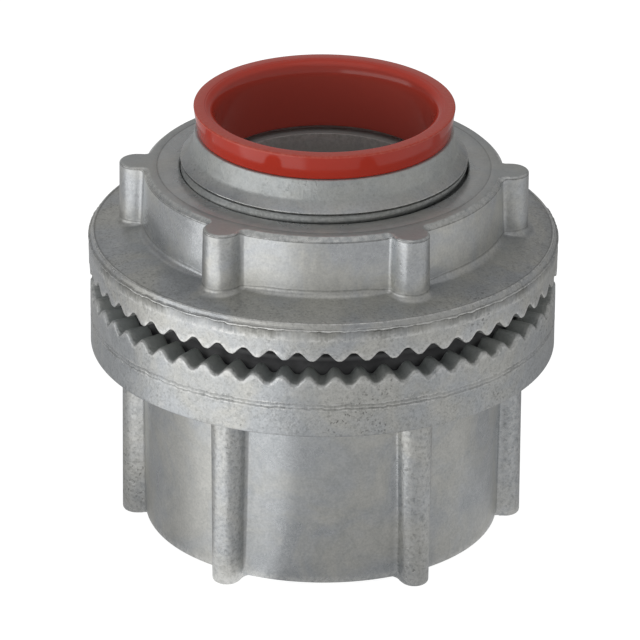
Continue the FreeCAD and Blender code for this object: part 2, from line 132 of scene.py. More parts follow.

# The undercut over the nipple's thread: how far in, how far below the lead-in, and its dirt with
# painted shade.
UNDERCUT = ((0.12, 0.3, 0.5), (0.34, 0.24, 1.0), (0.34, 0.12, 1.0), (0.06, 0.06, 0.6))
UNDERCUT_HEIGHT = 0.34
THREAD_RUN_OUT = 2.4

# Locking nut, measured up from the tips of its teeth. Its hub's radii and rib widths are those at
# the flange and at the top.
NUT_HEIGHT = NUT_HIGH.z - NUT_LOW.z
NUT_FLANGE_RADIUS = FLANGE_RADIUS + 0.25
NUT_TIP_RADIUS = NUT_FLANGE_RADIUS - 0.1
NUT_PARTING = 3.78
NUT_RIM_RADIUS = NUT_FLANGE_RADIUS - 0.35
NUT_RIM = 4.45
NUT_RISE = 0.95
NUT_HUB_RADII = (21.1, 20.75)
NUT_RIB_RADIUS = 23.65
NUT_RIB_WIDTHS = (4.7, 4.2)
NUT_RIB_FILLET = 0.6
NUT_BORE = 16.66
NUT_BEVEL = 0.1
NUT_RECESS = 1.5
NUT_VALLEY_TOP = 1.8
NUT_WALL_HEIGHTS = (7.2, 8.6, 10.0, 11.2)
NUT_GROOVE_RADIUS = NUT_RIM_RADIUS - 0.42
NUT_TURN = math.radians(-2.5)

# Throat insulator.
INSULATOR_COLUMNS = 192
INSULATOR_BORE = 12.55
SLEEVE_RADIUS = 13.65
LIP_ROUND = 1.2
LIP_STRETCH = 1.6
LIP_STEP = 0.05
RIM_TAPER = 0.45

# Sealing ring.
SEAL_COLUMNS = 216
SEAL_SECTION_STEPS = 28
SEAL_CORD_RADIUS = 2.0
SEAL_FLASH = 0.035
SEAL_FLASH_STEP = 5

# Each shell is spun as this many equal sectors.
SPIN_SECTORS = 12

# Uneven edges: how far the teeth's edges stray, and the seed of each uneven line.
TOOTH_STRAY = 0.035
BODY_FLASH_SEED = 3.0
NUT_FLASH_SEED = 31.0
BURR_SEED = 21.0
BODY_TOOTH_SEED = 51.0
NUT_TOOTH_SEED = 71.0

# Marks that the materials read: edges with wear and a painted highlight, dirt and painted shade in
# corners, creases, grooves and thread roots, turned faces, skin that has been knocked about, bands
# where flash was trimmed off, and dull oxidised skin.
MARKS = ("worn", "grime", "turned", "peened", "trimmed", "dull")


def row(points, **marks):
    """One ring of places round the axis, with the marks of its surface."""
    return {"points": points, **dict.fromkeys(MARKS, 0.0), **marks}


def at_column(value, column):
    """Read a value that is one number, or one for each column."""
    return value[column] if isinstance(value, list) else value


def ring(angles, radius, height, **marks):
    """A ring at a radius and height, either of which may change from column to column."""
    points = [
        Vector((
            at_column(radius, column) * math.cos(angle),
            at_column(radius, column) * math.sin(angle),
            at_column(height, column),
        ))
        for column, angle in enumerate(angles)
    ]
    return row(points, **marks)


def even_angles(columns):
    return [math.tau * column / columns for column in range(columns)]


def tooth_angles(first_valley):
    """The angle of each column, closer together round the corners of the teeth."""
    return [first_valley + (tooth + step) * PITCH for tooth in range(TEETH) for step in TOOTH_STEPS]


def tooth_climb():
    """How far up its tooth each column stands: 0 in the valley, 1 on the crest."""
    climb = []
    for step in TOOTH_STEPS:
        from_valley = min(step, 1.0 - step)
        slope = (from_valley - VALLEY_HALF) / (0.5 - VALLEY_HALF - CREST_HALF)
        slope = min(max(slope, 0.0), 1.0)
        smooth = slope * slope * (3 - 2 * slope)
        climb.append(0.6 * smooth + 0.4 * slope)
    return climb * TEETH


def quarter_turns(steps):
    """The angles from 0 to a right angle, in equal steps."""
    return [math.pi / 2 * step / steps for step in range(steps + 1)]


def rounded(corners, steps=4):
    """Points along an outline of (radius, height, rounding), each rounding made an arc."""
    points = []
    for index, (radius, height, rounding) in enumerate(corners):
        here = Vector((radius, height))
        if rounding == 0:
            points.append(here)
            continue
        back = (Vector(corners[index - 1][:2]) - here).normalized()
        ahead = (Vector(corners[index + 1][:2]) - here).normalized()
        half_turn = (math.pi - back.angle(ahead)) / 2
        centre = here + (back + ahead).normalized() * rounding / math.cos(half_turn)
        start = here + back * rounding * math.tan(half_turn) - centre
        side = -math.copysign(1.0, back.cross(ahead))
        for step in range(steps + 1):
            turn = Matrix.Rotation(side * 2 * half_turn * step / steps, 2)
            points.append(centre + turn @ start)
    return points


def rib_path(wall, outer, width, fillet):
    """Half of a ribbed outline, from a rib's nose to the middle of the gap beside it.

    Each entry is a place and the outward direction there, with the rib pointing along X.
    """
    half = width / 2
    nose = outer - half
    reach = wall + fillet
    root_x = math.sqrt(reach ** 2 - (half + fillet) ** 2)
    if root_x <= nose:
        root = Vector((root_x, half + fillet))
        nose_turn = math.pi / 2
        flank = nose - root_x
    else:
        root_x = (reach ** 2 - (half + fillet) ** 2 + nose ** 2) / (2 * nose)
        root = Vector((root_x, math.sqrt(reach ** 2 - root_x ** 2)))
        nose_turn = math.atan2(root.y, root.x - nose)
        flank = 0.0
    path = []
    nose_length = half * nose_turn
    for step in range(NOSE_COLUMNS + 1):
        along = (nose_length + flank) * step / NOSE_COLUMNS
        turn = min(along / half, nose_turn)
        out = Vector((math.cos(turn), math.sin(turn)))
        place = Vector((nose, 0)) + half * out
        place.x -= max(along - nose_length, 0.0)
        path.append((place, out))
    root_turn = math.atan2(root.y, root.x)
    for step in range(1, FILLET_COLUMNS + 1):
        turn = nose_turn + (root_turn - nose_turn) * step / FILLET_COLUMNS
        out = Vector((math.cos(turn), math.sin(turn)))
        path.append((root - fillet * out, out))
    gap_columns = HALF_SECTOR - NOSE_COLUMNS - FILLET_COLUMNS
    for step in range(1, gap_columns + 1):
        turn = root_turn + (math.pi / RIBS - root_turn) * step / gap_columns
        out = Vector((math.cos(turn), math.sin(turn)))
        path.append((wall * out, out))
    return path


def from_rib(column, rib_column):
    """How many columns a column is from the nearest rib's centre line, with its sign."""
    away = (column - rib_column) % (2 * HALF_SECTOR)
    return away - 2 * HALF_SECTOR if away > HALF_SECTOR else away


def rib_share(rib_column):
    """1 on the ribs, 0 on the wall between them, blended over the fillets."""
    shares = []
    for column in range(COLUMNS):
        past_nose = (abs(from_rib(column, rib_column)) - NOSE_COLUMNS) / FILLET_COLUMNS
        shares.append(1.0 - min(max(past_nose, 0.0), 1.0))
    return shares


def ribbed_ring(first_angle, rib_column, path, offset, height, **marks):
    """A ring along the ribbed outline, moved outwards by an offset."""
    sector = math.tau / RIBS
    points = []
    for column in range(COLUMNS):
        away = from_rib(column, rib_column)
        centre = first_angle + sector * round((column - away - rib_column) / (2 * HALF_SECTOR))
        place, out = path[abs(away)]
        flat = place + out * at_column(offset, column)
        if away < 0:
            flat.y = -flat.y
        turned = Matrix.Rotation(centre, 2) @ flat
        points.append(Vector((turned.x, turned.y, at_column(height, column))))
    return row(points, **marks)


def ribbed_wall(foot, top, radii, rib_widths, rib_radius, fillet, first_rib, rib_column):
    """A function that makes rings up a ribbed wall, which tapers from its foot to its top."""
    def wall(height, offset, level=None, **marks):
        up = min(max((height - foot) / (top - foot), 0.0), 1.0)
        radius = radii[0] + (radii[1] - radii[0]) * up
        width = rib_widths[0] + (rib_widths[1] - rib_widths[0]) * up
        path = rib_path(radius, rib_radius, width, fillet)
        place = height if level is None else level
        return ribbed_ring(first_rib, rib_column, path, offset, place, **marks)

    return wall


def ring_beside(other, radius, height, **marks):
    """A ring at a radius, at the same angles as another ring."""
    angles = [math.atan2(point.y, point.x) for point in other["points"]]
    return ring(angles, radius, height, **marks)


def ragged(angles, reach, seed, coarse_scale=14.0, fine_scale=55.0):
    """An uneven amount for each column, as along a trimmed flash line."""
    amounts = []
    for angle in angles:
        place = Vector((math.cos(angle), math.sin(angle), seed))
        coarse = noise.noise(place * coarse_scale)
        fine = noise.noise(place * fine_scale)
        amounts.append(reach * (0.9 * coarse + 1.1 * fine))
    return amounts


def flash_band(angles, radius, height, seed, steps):
    """Rings across a parting line where flash was trimmed, from the lowest up.

    Each step is (rise, outwards, raggedness, wander, marks): the third and fourth are how far
    the ring strays in and out, and up and down. The marks come and go along the line.
    """
    patches = [min(max(0.75 + part, 0.45), 1.0) for part in ragged(angles, 1.1, seed, 2.2, 7.0)]
    shared = ragged(angles, 1.0, seed + 0.5)
    rows = []
    for number, (rise, outwards, raggedness, wander, marks) in enumerate(steps):
        stray = ragged(angles, raggedness, seed + number)
        own = ragged(angles, 0.35, seed + number + 0.5)
        radii = [min(radius + outwards + part, radius) for part in stray]
        heights = [height + rise + wander * (part + mine) for part, mine in zip(shared, own)]
        patchy = {name: [level * patch for patch in patches] for name, level in marks.items()}
        rows.append(ring(angles, radii, heights, **patchy))
    return rows


def spin_rows(bm, rows):
    """Spin a chain of vertices round the axis and set each one at its place in its row.

    One sector is spun in small steps and then repeated, and its seams are closed.
    """
    before = set(bm.verts)
    row_layer = bm.verts.layers.int["row"]
    chain = []
    for number, one in enumerate(rows):
        first = one["points"][0]
        vertex = bm.verts.new((first.xy.length, 0, first.z))
        vertex[row_layer] = number
        chain.append(vertex)
    edges = [bm.edges.new(pair) for pair in zip(chain, chain[1:])]
    columns = len(rows[0]["points"])
    centre = {"cent": (0, 0, 0), "axis": (0, 0, 1)}
    sector = math.tau / SPIN_SECTORS
    bmesh.ops.spin(bm, geom=chain + edges, angle=sector, steps=columns // SPIN_SECTORS, **centre)
    spun = [vertex for vertex in bm.verts if vertex not in before]
    parts = spun + list({edge for vertex in spun for edge in vertex.link_edges})
    parts += list({face for vertex in spun for face in vertex.link_faces})
    bmesh.ops.spin(bm, geom=parts, angle=math.tau - sector, steps=SPIN_SECTORS - 1,
                   use_duplicate=True, **centre)
    spun = [vertex for vertex in bm.verts if vertex not in before]
    bmesh.ops.remove_doubles(bm, verts=spun, dist=0.001)
    layers = {name: bm.verts.layers.float[name] for name in MARKS}
    for vertex in bm.verts:
        if vertex in before:
            continue
        column = round(math.atan2(vertex.co.y, vertex.co.x) / math.tau * columns) % columns
        one = rows[vertex[row_layer]]
        vertex.co = one["points"][column]
        for name, layer in layers.items():
            vertex[layer] = at_column(one[name], column)


def new_shape():
    bm = bmesh.new()
    bm.verts.layers.int.new("row")
    for name in MARKS:
        bm.verts.layers.float.new(name)
    return bm


def close_ring(bm, height):
    """Close the flat ring that is still open between two shells at a height."""
    near = 0.02
    edges = [
        edge for edge in bm.edges
        if edge.is_boundary and all(abs(vertex.co.z - height) < near for vertex in edge.verts)
    ]
    bmesh.ops.triangle_fill(bm, edges=edges, use_beauty=True)


def make_piece(name, bm, lift=0.0, turn=0.0):
    """Turn a shape in millimetres into a smooth object in metres, its place in its mesh."""
    bmesh.ops.recalc_face_normals(bm, faces=bm.faces)
    placed = Matrix.Scale(MM, 4) @ Matrix.Translation((0, 0, lift)) @ Matrix.Rotation(turn, 4, "Z")
    bmesh.ops.transform(bm, matrix=placed, verts=bm.verts)
    mesh = bpy.data.meshes.new(name)
    bm.to_mesh(mesh)
    bm.free()
    mesh.shade_smooth()
    piece = bpy.data.objects.new(name, mesh)
    bpy.context.scene.collection.objects.link(piece)
    return piece


def spin_piece(name, shells, seams=(), **placing):
    """Spin shells into one piece, joined by flat rings at the seams' heights.

    A single shell has no seam: its last row lies on its first, and the two are merged.
    """
    bm = new_shape()
    for rows in shells:
        spin_rows(bm, rows)
    for height in seams:
        close_ring(bm, height)
    if not seams:
        bmesh.ops.remove_doubles(bm, verts=bm.verts, dist=0.0005)
    return make_piece(name, bm, **placing)


def thread_radius(angle, height, crest, depth):
    """The radius of a right-hand thread at a place; a negative depth cuts outwards."""
    front_crest = LEAD_FOOT - THREAD_CREST_BELOW_LEAD
    turn = ((height - front_crest) / THREAD_PITCH - (angle - FRONT) / math.tau) % 1.0
    from_root = abs(turn - 0.5) * 2
    climb = min(max((from_root - 0.1) / 0.8, 0.0), 1.0)
    return crest - depth * (1.0 - climb)


def thread_rows(angles, low, high, crest, depth, steps_per_turn, upwards=True, fine_end=0.0):
    """Rings that follow a thread between two heights, faded at both ends.

    Over the fine end, a length below its top, the thread grows shallower, and rings stand closer
    in its upper half.
    """
    heights = [low]
    while heights[-1] < high - 0.05:
        close = high - heights[-1] < fine_end / 2
        heights.append(heights[-1] + THREAD_PITCH / steps_per_turn * (0.35 if close else 1.0))
    heights[-1] = high
    rows = []
    for height in heights:
        end = min(height - low, high - height)
        fade = min(end / 0.08, 1.0)
        if fine_end:
            fade *= 0.3 + 0.7 * min((high - height) / fine_end, 1.0) ** 2
        radii = [thread_radius(angle, height, crest, depth * fade) for angle in angles]
        # Painted shade with dirt, darker in the thread's roots and more along its fine end; a painted
        # highlight with wear on its crests.
        deep = [min(abs(radius - crest) / abs(depth), 1.0) for radius in radii]
        shade_at_fine_end = 0.3 if high - height < fine_end else 0.0
        grime = [shade_at_fine_end + part * 0.2 for part in deep]
        worn = [max(0.0, 0.3 - part) for part in deep]
        rows.append(ring(angles, radii, height, grime=grime, worn=worn, dull=0.6))
    return rows if upwards else rows[::-1]


def body_shell_rows():
    """The body's outside, from the socket's mouth over the toothed flange to the land."""
    angles = tooth_angles(BODY_FIRST_VALLEY)
    climb = tooth_climb()
    share = rib_share(BODY_RIB_COLUMN)
    wall = ribbed_wall(MOUTH, FLANGE_FOOT, SOCKET_RADII, BODY_RIB_WIDTHS, BODY_RIB_RADIUS,
                       BODY_RIB_FILLET, angles[BODY_RIB_COLUMN], BODY_RIB_COLUMN)
    bottom = [MOUTH * (1.0 - part) for part in share]
    edge = [SOCKET_EDGE_ROUND + (FOOT_EDGE_ROUND - SOCKET_EDGE_ROUND) * part for part in share]
    foot = wall(MOUTH, [-size for size in edge], bottom)
    rows = [ring(angles, SOCKET_SEAM_RADIUS, MOUTH)]
    rows.append(ring_beside(foot, 19.85, MOUTH))
    rows.append(ring_beside(foot, 19.95, MOUTH, grime=0.3))
    rows.append(ring_beside(foot, 20.0, bottom))
    for turn in quarter_turns(4):
        offset = [-size * (1 - math.sin(turn)) for size in edge]
        level = [low + size * (1 - math.cos(turn)) for low, size in zip(bottom, edge)]
        rows.append(wall(MOUTH, offset, level, worn=0.55))
    # The rib noses carry a painted highlight with their wear.
    rubbed_highlight = [BODY_RIB_WEAR_HIGHLIGHT * part for part in share]
    rows += [wall(height, 0.0, peened=share, worn=rubbed_highlight) for height in BODY_WALL_HEIGHTS]
    # Painted shade with dirt in the fillet under the flange.
    for turn in quarter_turns(4):
        height = FLANGE_FOOT - FLANGE_ROOT_ROUND * math.cos(turn)
        rows.append(wall(height, FLANGE_ROOT_ROUND * (1 - math.cos(turn)), grime=0.4))

    side = FLANGE_RADIUS - 0.02
    flange = [
        (24.7, FLANGE_FOOT, 0), (side, FLANGE_FOOT, FLANGE_EDGE_ROUND), (side, FLANGE_FOOT + 0.5, 0),
        (side, BODY_PARTING - 1.2, 0), (side, BODY_PARTING - 0.7, 0),
    ]
    for point in rounded(flange):
        rows.append(ring(angles, point.x, point.y, peened=0.8))
    # Across the parting line: dark bands of dirt and painted shade, bright ridges of wear and painted
    # highlight.
    rows += flash_band(angles, FLANGE_RADIUS, BODY_PARTING, BODY_FLASH_SEED, (
        (-0.5, -0.02, 0.0, 0.0, {"peened": 1.0}),
        (-0.36, -0.02, 0.04, 0.1, {"peened": 1.0, "worn": 0.8, "trimmed": 0.4}),
        (-0.24, -0.05, 0.06, 0.1, {"grime": 0.25, "trimmed": 1.0}),
        (-0.12, -0.06, 0.07, 0.12, {"grime": 0.55, "trimmed": 1.0}),
        (-0.02, -0.02, 0.07, 0.12, {"worn": 0.8, "trimmed": 0.6}),
        (0.1, -0.06, 0.07, 0.1, {"grime": 0.2, "trimmed": 1.0}),
        (0.3, -0.05, 0.05, 0.1, {"grime": 0.25, "trimmed": 1.0}),
        (0.4, -0.02, 0.05, 0.1, {"worn": 0.8, "peened": 1.0}),
        (0.58, 0.0, 0.0, 0.0, {"peened": 1.0}),
    ))

    top = [CREST - TOOTH_HEIGHT * (1.0 - part) for part in climb]
    rows.append(ring(angles, FLANGE_RADIUS, CREST - 2.3, peened=0.6))
    low = CREST - 1.9
    for share_up in (0.0, 0.5):
        heights = [low + (high - BODY_TOOTH_EDGE - low) * share_up for high in top]
        rows.append(ring(angles, FLANGE_RADIUS, heights, peened=0.7))
    # The teeth's rounded edges carry painted highlights with wear.
    for step, turn in enumerate(quarter_turns(6)):
        heights = [high - BODY_TOOTH_EDGE * (1 - math.sin(turn)) for high in top]
        inwards = BODY_TOOTH_EDGE * (1 - math.cos(turn))
        stray = ragged(angles, TOOTH_STRAY, BODY_TOOTH_SEED + step)
        radii = [FLANGE_RADIUS - max(inwards + part, 0.0) for part in stray]
        rows.append(ring(angles, radii, heights, worn=0.45, peened=1.0, dull=0.1 * step))
    inner = FLANGE_RADIUS - TOOTH_BAND
    for radius in (FLANGE_RADIUS - 1.0, FLANGE_RADIUS - 1.9, inner + TOOTH_END_ROUND):
        rows.append(ring(angles, radius, top, peened=0.5, dull=0.8))
    for turn in quarter_turns(3)[1:]:
        heights = [high - TOOTH_END_ROUND * (1 - math.cos(turn)) for high in top]
        rows.append(ring(angles, inner + TOOTH_END_ROUND * (1 - math.sin(turn)), heights, dull=0.8))
    groove = [
        (inner, CREST - 1.6, 0), (inner, GROOVE_FLOOR, GROOVE_ROUND),
        (LAND_RADIUS, GROOVE_FLOOR, GROOVE_ROUND), (LAND_RADIUS, LAND, 0.2),
        (SHELL_SEAM_RADIUS, LAND, 0),
    ]
    rows += [ring(angles, point.x, point.y, dull=0.9) for point in rounded(groove)]
    return rows


def nipple_rows():
    """The nipple's thread, lead-in and collar, then down inside it to the socket's mouth."""
    angles = even_angles(NIPPLE_COLUMNS)
    # The nipple's foot, deep between the flanges, is painted dark: painted shade with dirt.
    rows = [ring(angles, NIPPLE_SEAM_RADIUS, LAND, grime=0.8)]
    rows.append(ring(angles, NIPPLE_RADIUS, LAND + 0.15, grime=0.8))
    rows += thread_rows(angles, LAND + 0.25, LEAD_FOOT - UNDERCUT_HEIGHT, NIPPLE_RADIUS - 0.03,
                        THREAD_DEPTH, 12, fine_end=THREAD_RUN_OUT)
    for inwards, down, grime in UNDERCUT:
        rows.append(ring(angles, NIPPLE_RADIUS - inwards, LEAD_FOOT - down, grime=grime))
    # The burr's edge carries a painted highlight with wear.
    burr = ragged(angles, 0.03, BURR_SEED)
    rows.append(ring(angles, [NIPPLE_RADIUS - 0.02 + part for part in burr], LEAD_FOOT, worn=1.0))
    rows.append(ring(angles, NIPPLE_RADIUS - 0.08, LEAD_FOOT + 0.05, worn=0.3))
    nose = [
        (NIPPLE_RADIUS - 0.13, LEAD_FOOT + 0.1, 0), (NIPPLE_RADIUS - 0.3, LEAD_FOOT + 0.23, 0),
        (COLLAR_RADIUS, COLLAR_FOOT, COLLAR_ROUND), (COLLAR_TIP_RADIUS, NIPPLE_TOP, 0.15),
        (SEAT_RADIUS, NIPPLE_TOP, 0.1), (SEAT_RADIUS, SHOULDER, 0.1), (THROAT_RADIUS, SHOULDER, 0.09),
        *((THROAT_RADIUS, height, 0) for height in THROAT_HEIGHTS),
        (THROAT_RADIUS, CONDUIT_STOP + THROAT_ENTRY_BEVEL, 0.4),
        (THROAT_RADIUS + THROAT_ENTRY_BEVEL, CONDUIT_STOP, 0.4),
        (CONDUIT_RADIUS, CONDUIT_STOP, 0.25), (CONDUIT_RADIUS, CONDUIT_STOP - 0.8, 0),
    ]
    # The shoulder's inner edge, where the throat begins, carries a painted highlight with wear.
    for point in rounded(nose):
        on_collar = point.x > COLLAR_TIP_RADIUS - 0.2 and point.y > COLLAR_FOOT - 0.2
        in_throat = point.x < SEAT_RADIUS + 0.05 and point.y > CONDUIT_STOP + 1.0
        on_edge = SHOULDER - 0.12 < point.y < SHOULDER - 0.01
        rows.append(ring(angles, point.x, point.y, turned=1.0 if on_collar else 0.0,
                         peened=0.85 if on_collar else 0.2, worn=0.35 if on_edge else 0.0,
                         dull=1.0 if in_throat else 0.55 if on_collar else 0.0))
    rows += thread_rows(angles, MOUTH + 1.3, CONDUIT_STOP - 1.2, CONDUIT_RADIUS - THREAD_DEPTH,
                        -THREAD_DEPTH, 6, upwards=False)
    rows.append(ring(angles, CONDUIT_RADIUS, MOUTH + CONDUIT_LEAD_IN + 0.05, worn=0.4))
    rows.append(ring(angles, CONDUIT_RADIUS + CONDUIT_LEAD_IN, MOUTH, worn=0.4))
    return rows


def make_hub_body():
    """One casting: ribbed socket, toothed flange, seal groove, threaded nipple and throat."""
    return spin_piece("hub_casting", (body_shell_rows(), nipple_rows()), (LAND, MOUTH))


def nut_cone(radius):
    """Height of the nut's sloping flange top at a radius."""
    return NUT_RIM + NUT_RISE * (NUT_RIM_RADIUS - radius) / (NUT_RIM_RADIUS - NUT_HUB_RADII[0])


def nut_shell_rows():
    """The nut's outside, from the recess inside its teeth round to its top face."""
    angles = tooth_angles(0.0)
    climb = tooth_climb()
    share = rib_share(0)
    tip = [TOOTH_HEIGHT * (1.0 - part) for part in climb]
    inner = NUT_TIP_RADIUS - TOOTH_BAND
    recess = [
        (SHELL_SEAM_RADIUS, NUT_RECESS, 0), (inner, NUT_RECESS, 0.2), (inner, NUT_RECESS - 0.25, 0),
    ]
    rows = [ring(angles, point.x, point.y, dull=0.9) for point in rounded(recess)]
    for turn in quarter_turns(3):
        heights = [low + NUT_TOOTH_EDGE * (1 - math.sin(turn)) for low in tip]
        rows.append(ring(angles, inner + NUT_TOOTH_EDGE * (1 - math.cos(turn)), heights, dull=0.8))
    for radius in (inner + 0.9, inner + 1.9):
        rows.append(ring(angles, radius, tip, dull=0.8))
    # The teeth's tips carry painted highlights with wear.
    for step, turn in enumerate(quarter_turns(4)):
        heights = [low + NUT_TOOTH_EDGE * (1 - math.cos(turn)) for low in tip]
        inwards = NUT_TOOTH_EDGE * (1 - math.sin(turn))
        stray = ragged(angles, TOOTH_STRAY, NUT_TOOTH_SEED + step)
        radii = [NUT_TIP_RADIUS - inwards + part for part in stray]
        rows.append(ring(angles, radii, heights, worn=0.8, peened=1.0))
    heights = [low + NUT_TOOTH_EDGE + (NUT_VALLEY_TOP - low - NUT_TOOTH_EDGE) * 0.5 for low in tip]
    rows.append(ring(angles, NUT_TIP_RADIUS + 0.01, heights, peened=0.7))
    rows.append(ring(angles, NUT_TIP_RADIUS + 0.02, NUT_VALLEY_TOP, peened=0.7))

    # Across the parting line: dark bands of dirt and painted shade, bright ridges of wear and painted
    # highlight.
    rows += flash_band(angles, NUT_FLANGE_RADIUS, NUT_PARTING, NUT_FLASH_SEED, (
        (-1.4, -0.06, 0.0, 0.0, {"peened": 1.0}),
        (-1.16, -0.06, 0.02, 0.06, {"worn": 0.7, "peened": 1.0, "trimmed": 0.4}),
        (-1.0, -0.08, 0.03, 0.08, {"worn": 0.7, "trimmed": 0.8, "grime": 0.2, "peened": 0.6}),
        (-0.6, -0.09, 0.03, 0.1, {"grime": 0.4, "trimmed": 1.0}),
        (-0.24, -0.1, 0.04, 0.12, {"grime": 0.6, "trimmed": 1.0}),
        (-0.12, -0.12, 0.06, 0.14, {"grime": 1.0, "trimmed": 0.6}),
        (-0.05, -0.08, 0.06, 0.14, {"grime": 0.7, "worn": 0.4}),
        (0.02, -0.01, 0.05, 0.12, {"worn": 1.0}),
        (0.1, -0.04, 0.06, 0.1, {"worn": 1.0}),
        (0.16, -0.2, 0.03, 0.06, {"grime": 0.5}),
    ))
    # The rim's rounded top edge carries painted highlights with wear.
    for outwards, up, worn in (
        (0.1, 0.17, 0.3), (0.03, 0.36, 0.0), (-0.05, 0.57, 0.0), (-0.09, 0.68, 0.5),
        (-0.16, 0.76, 1.0), (-0.26, 0.785, 0.6),
    ):
        rows.append(ring(angles, NUT_RIM_RADIUS + outwards, NUT_PARTING + up, worn=worn, peened=0.5))
    # A thin painted dark line of shade and dirt in the groove round the flange top.
    rows.append(ring(angles, NUT_GROOVE_RADIUS, nut_cone(NUT_GROOVE_RADIUS) - 0.02, grime=0.55))
    for radius in (NUT_GROOVE_RADIUS - 0.08, 25.7, 25.3, 24.85):
        rows.append(ring(angles, radius, nut_cone(radius), peened=0.9))

    wall = ribbed_wall(NUT_RIM, NUT_HEIGHT, NUT_HUB_RADII, NUT_RIB_WIDTHS, NUT_RIB_RADIUS,
                       NUT_RIB_FILLET, 0.0, 0)
    root = []
    for column in range(COLUMNS):
        away = abs(from_rib(column, 0))
        from_fillet = max(NOSE_COLUMNS - away, away - NOSE_COLUMNS - FILLET_COLUMNS, 0)
        root.append(min(0.45 + 0.04 * from_fillet, 0.8))
    foot = wall(NUT_RIM + 1.0, root)
    foot_heights = [nut_cone(point.xy.length) for point in foot["points"]]
    # Where the fillet meets the wall a row is painted dark: shade and dirt at the wall's foot.
    for step, turn in enumerate(quarter_turns(5)):
        heights = [low + size * (1 - math.cos(turn)) for low, size in zip(foot_heights, root)]
        offsets = [size * (1 - math.sin(turn)) for size in root]
        rows.append(wall(NUT_RIM + 1.0, offsets, heights, peened=0.4, grime=0.5 if step == 5 else 0.0))
    above_root = [low + size + 0.15 for low, size in zip(foot_heights, root)]
    rows.append(wall(NUT_RIM + 1.2, 0.0, above_root))
    peened = [0.4 * part for part in share]
    rows += [wall(height, 0.0, peened=peened) for height in NUT_WALL_HEIGHTS]
    # Under the top bevel a thin painted dark line of shade and dirt; the bevel and the top's edge carry
    # painted highlights with wear.
    bevel = [0.5 - 0.32 * part for part in share]
    for outwards, up, grime, worn in (
        (0.0, -0.2, 0.0, 0.1), (0.0, -0.1, 0.75, 0.0), (-0.015, 0.0, 0.2, 0.5), (-0.06, 0.06, 0.0, 0.6),
    ):
        heights = [NUT_HEIGHT - size + up for size in bevel]
        rows.append(wall(NUT_HEIGHT - 0.5, outwards, heights, grime=grime, worn=worn))
    for inwards, down, worn in ((-0.06, 0.06, 0.6), (0.0, 0.012, 0.4), (0.12, 0.0, 0.05)):
        offsets = [-size - inwards for size in bevel]
        rows.append(wall(NUT_HEIGHT, offsets, NUT_HEIGHT - down, worn=worn, turned=0.4, dull=0.6))
    rows.append(ring_beside(rows[-1], 19.9, NUT_HEIGHT, turned=0.5, dull=0.6))
    # A thin painted dark line of shade and dirt in the faint ring groove on the top face.
    ring_mark = ((19.36, 0.0, 0.0), (19.28, 0.03, 0.45), (19.2, 0.03, 0.2), (19.1, 0.01, 0.0))
    for radius, drop, grime in ring_mark:
        rows.append(ring(angles, radius, NUT_HEIGHT - drop, grime=grime, turned=0.8, dull=0.5))
    rows.append(ring(angles, SHELL_SEAM_RADIUS, NUT_HEIGHT, turned=1.0, dull=0.4))
    return rows


def nut_bore_rows():
    """The nut's thread, cut outwards from its bore, with a bevel at each end."""
    angles = even_angles(NIPPLE_COLUMNS)
    mouth = NUT_BORE + NUT_BEVEL
    rows = [ring(angles, mouth, NUT_RECESS)]
    rows += thread_rows(angles, NUT_RECESS + NUT_BEVEL, NUT_HEIGHT - NUT_BEVEL, NUT_BORE,
                        -THREAD_DEPTH, 10)
    rows.append(ring(angles, mouth - 0.06, NUT_HEIGHT - 0.08))
    rows.append(ring(angles, mouth, NUT_HEIGHT - 0.02, worn=0.3))
    rows.append(ring(angles, mouth + 0.08, NUT_HEIGHT, turned=1.0, dull=0.3))
    return rows


def make_locking_nut():
    """One casting, turned on its thread as it stands, teeth down."""
    return spin_piece("lock_nut_casting", (nut_shell_rows(), nut_bore_rows()),
                      (NUT_RECESS, NUT_HEIGHT), lift=NUT_LOW.z, turn=NUT_TURN)


def make_throat_insulator():
    """Moulded bush: a rim with a faint step round its rounded lip, and a sleeve."""
    angles = even_angles(INSULATOR_COLUMNS)
    rim = INSULATOR_HIGH.x
    top = INSULATOR_HIGH.z
    low = INSULATOR_LOW.z
    bore = INSULATOR_BORE
    lip = bore + LIP_ROUND
    seat = NIPPLE_TOP + 0.02
    outline = [
        (bore, low + 0.6, 0), (bore, low, 0.15), (SLEEVE_RADIUS, low, 0.25), (SLEEVE_RADIUS, seat, 0),
        (rim - RIM_TAPER, seat, 0.12), (rim - 0.07, top - 0.46, 0), (rim - 0.045, top - 0.3, 0),
        (rim, top, 0.14), (lip + 0.08, top, 0.03),
        (lip + 0.02, top - LIP_STEP, 0.03), (lip - 0.12, top - LIP_STEP, 0),
    ]
    points = rounded(outline)
    for turn in quarter_turns(8)[1:]:
        inwards = LIP_ROUND * math.sin(turn)
        down = LIP_STRETCH * LIP_ROUND * (1 - math.cos(turn))
        points.append(Vector((lip - inwards, top - LIP_STEP - down)))
    points += [Vector((bore, top - 2.8)), Vector((bore, top - 4.4)), Vector((bore, low + 2.0))]
    rows = []
    for point in points:
        # Painted highlight with wear on the rim's top edge; the top face and lip painted lighter, as
        # lit from above, with some scuffs; the bore painted lighter and paler down its depth, painted
        # light in its shade.
        on_edge = point.x > rim - 0.2 and point.y > top - 0.2
        lit_scuffed_top = point.x < rim - 0.1 and point.y > top - 0.6
        inside = min(max((top - 0.1 - point.y) / 1.6, 0.0), 1.0) if point.x < bore + 0.7 else 0.0
        rows.append(ring(angles, point.x, point.y, worn=1.0 if on_edge else 0.0,
                         turned=1.0 if lit_scuffed_top else 0.0, grime=inside))
    rows.append(rows[0])
    return spin_piece("insulator_moulding", (rows,))


